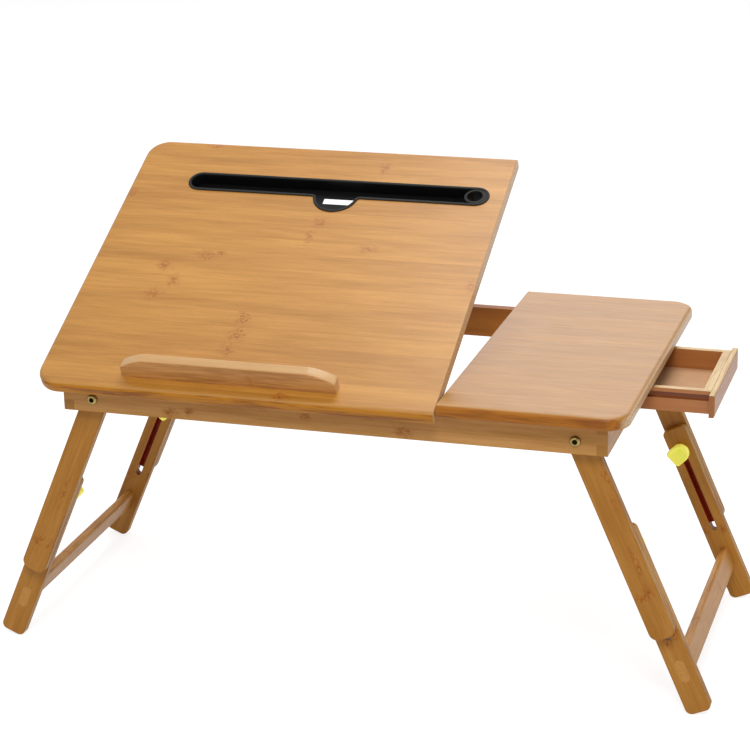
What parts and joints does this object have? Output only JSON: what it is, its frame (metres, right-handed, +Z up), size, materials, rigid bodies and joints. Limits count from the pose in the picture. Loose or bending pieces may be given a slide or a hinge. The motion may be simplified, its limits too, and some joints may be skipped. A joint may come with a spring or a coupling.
{
  "type": "laptop stand with drawer",
  "caption": "Bamboo bed-tray laptop stand: tilting top with ledge and slot insert, fixed side top, sliding drawer, folding telescopic legs with thumb knobs.",
  "frame": {"origin": "on the floor, below the middle of the rail frame", "axes": "+X to the user's right, towards the drawer; +Y to the rear, away from the user; +Z up"},
  "size_m": [0.6936, 0.352, 0.4339],
  "materials": {
    "bamboo_tilt_top": "satin lacquer",
    "bamboo_fixed_top": "satin lacquer",
    "bamboo_ledge": "satin lacquer",
    "bamboo_rail": "satin lacquer",
    "bamboo_leg": "satin lacquer",
    "bamboo_stretcher": "satin lacquer",
    "bamboo_inner": "plain planed",
    "bamboo_drawer": "satin lacquer",
    "drawer_board": "plain board",
    "dowel_wood": "plain turned",
    "black_plastic": "fine matte",
    "knob_plastic": "satin",
    "brass": "polished",
    "steel": "satin"
  },
  "bodies": {
    "frame": {"front_rail": "bamboo_rail", "rear_rail": "bamboo_rail", "left_rail": "bamboo_rail", "right_rail": "bamboo_rail", "fixed_panel": "bamboo_fixed_top", "fixed_panel_dowels": "dowel_wood", "rack_bar_left": "bamboo_inner", "rack_bar_right": "bamboo_inner", "drawer_runner_front": "bamboo_inner", "drawer_runner_rear": "bamboo_inner", "runner_screws": "steel", "pivot_bolts": "brass", "pivot_sleeve_nuts": "brass", "hinge_rail_leaf_left": "steel", "hinge_rail_leaf_right": "steel", "hinge_pins": "steel", "hinge_rail_screws": "steel"},
    "tilt_top": {"tilt_panel": "bamboo_tilt_top", "ledge": "bamboo_ledge", "ledge_dowels": "dowel_wood", "slot_insert": "black_plastic", "hinge_panel_leaf_left": "steel", "hinge_panel_leaf_right": "steel", "hinge_panel_screws": "steel", "prop_bracket_left": "bamboo_inner", "prop_bracket_right": "bamboo_inner", "prop_pins": "steel"},
    "prop": {"prop_arm_left": "bamboo_inner", "prop_arm_right": "bamboo_inner", "prop_foot_rod": "bamboo_inner", "prop_cross_bar": "bamboo_inner"},
    "drawer": {"drawer_face": "bamboo_drawer", "drawer_front_wall": "bamboo_drawer", "drawer_back_wall": "bamboo_drawer", "drawer_side_front": "bamboo_drawer", "drawer_side_rear": "bamboo_drawer", "drawer_floor": "drawer_board", "drawer_stop": "bamboo_drawer"},
    "left_upper_legs": {"upper_leg_front_left": "bamboo_leg", "upper_leg_rear_left": "bamboo_leg", "threaded_inserts_left": "brass"},
    "left_leg_extension": {"lower_leg_front_left": "bamboo_leg", "lower_leg_rear_left": "bamboo_leg", "stretcher_left": "bamboo_stretcher"},
    "knob_front_left": {"knob_front_left": "knob_plastic", "knob_stud_front_left": "steel"},
    "knob_rear_left": {"knob_rear_left": "knob_plastic", "knob_stud_rear_left": "steel"},
    "right_upper_legs": {"upper_leg_front_right": "bamboo_leg", "upper_leg_rear_right": "bamboo_leg", "threaded_inserts_right": "brass"},
    "right_leg_extension": {"lower_leg_front_right": "bamboo_leg", "lower_leg_rear_right": "bamboo_leg", "stretcher_right": "bamboo_stretcher"},
    "knob_front_right": {"knob_front_right": "knob_plastic", "knob_stud_front_right": "steel"},
    "knob_rear_right": {"knob_rear_right": "knob_plastic", "knob_stud_rear_right": "steel"}
  },
  "joints": [
    {"name": "top_tilt", "type": "hinge", "parent": "frame", "child": "tilt_top", "pos_m": [-0.085, -0.1576, 0.27812], "axis": [1, 0, 0], "range_deg": [-26.08, 8.86]},
    {"name": "prop_fold", "type": "hinge", "parent": "tilt_top", "child": "prop", "pos_m": [-0.085, -0.04296, 0.32826], "axis": [1, 0, 0], "range_deg": [-17.72, 52.16]},
    {"name": "drawer_slide", "type": "slide", "parent": "frame", "child": "drawer", "axis": [1, 0, 0], "range_m": [-0.0706, 0.0259]},
    {"name": "left_leg_fold", "type": "hinge", "parent": "frame", "child": "left_upper_legs", "pos_m": [-0.2264, 0, 0.26012], "axis": [0, 1, 0], "range_deg": [-113.4, 0]},
    {"name": "left_leg_extend", "type": "slide", "parent": "left_upper_legs", "child": "left_leg_extension", "axis": [-0.3971, 0, -0.9178], "range_m": [-0.0798, 0]},
    {"name": "knob_turn_front_left", "type": "hinge", "parent": "left_upper_legs", "child": "knob_front_left", "pos_m": [-0.27306, -0.1182, 0.15228], "axis": [0, -1, 0], "range_deg": [0, 270]},
    {"name": "knob_turn_rear_left", "type": "hinge", "parent": "left_upper_legs", "child": "knob_rear_left", "pos_m": [-0.27306, 0.1182, 0.15228], "axis": [0, 1, 0], "range_deg": [0, 270]},
    {"name": "right_leg_fold", "type": "hinge", "parent": "frame", "child": "right_upper_legs", "pos_m": [0.2264, 0, 0.26012], "axis": [0, 1, 0], "range_deg": [0, 113.4]},
    {"name": "right_leg_extend", "type": "slide", "parent": "right_upper_legs", "child": "right_leg_extension", "axis": [0.3971, 0, -0.9178], "range_m": [-0.0798, 0]},
    {"name": "knob_turn_front_right", "type": "hinge", "parent": "right_upper_legs", "child": "knob_front_right", "pos_m": [0.27306, -0.1182, 0.15228], "axis": [0, -1, 0], "range_deg": [0, 270]},
    {"name": "knob_turn_rear_right", "type": "hinge", "parent": "right_upper_legs", "child": "knob_rear_right", "pos_m": [0.27306, 0.1182, 0.15228], "axis": [0, 1, 0], "range_deg": [0, 270]}
  ],
  "couplings": [
    {"joint": "prop_fold", "follows": "top_tilt", "ratio": -2}
  ]
}
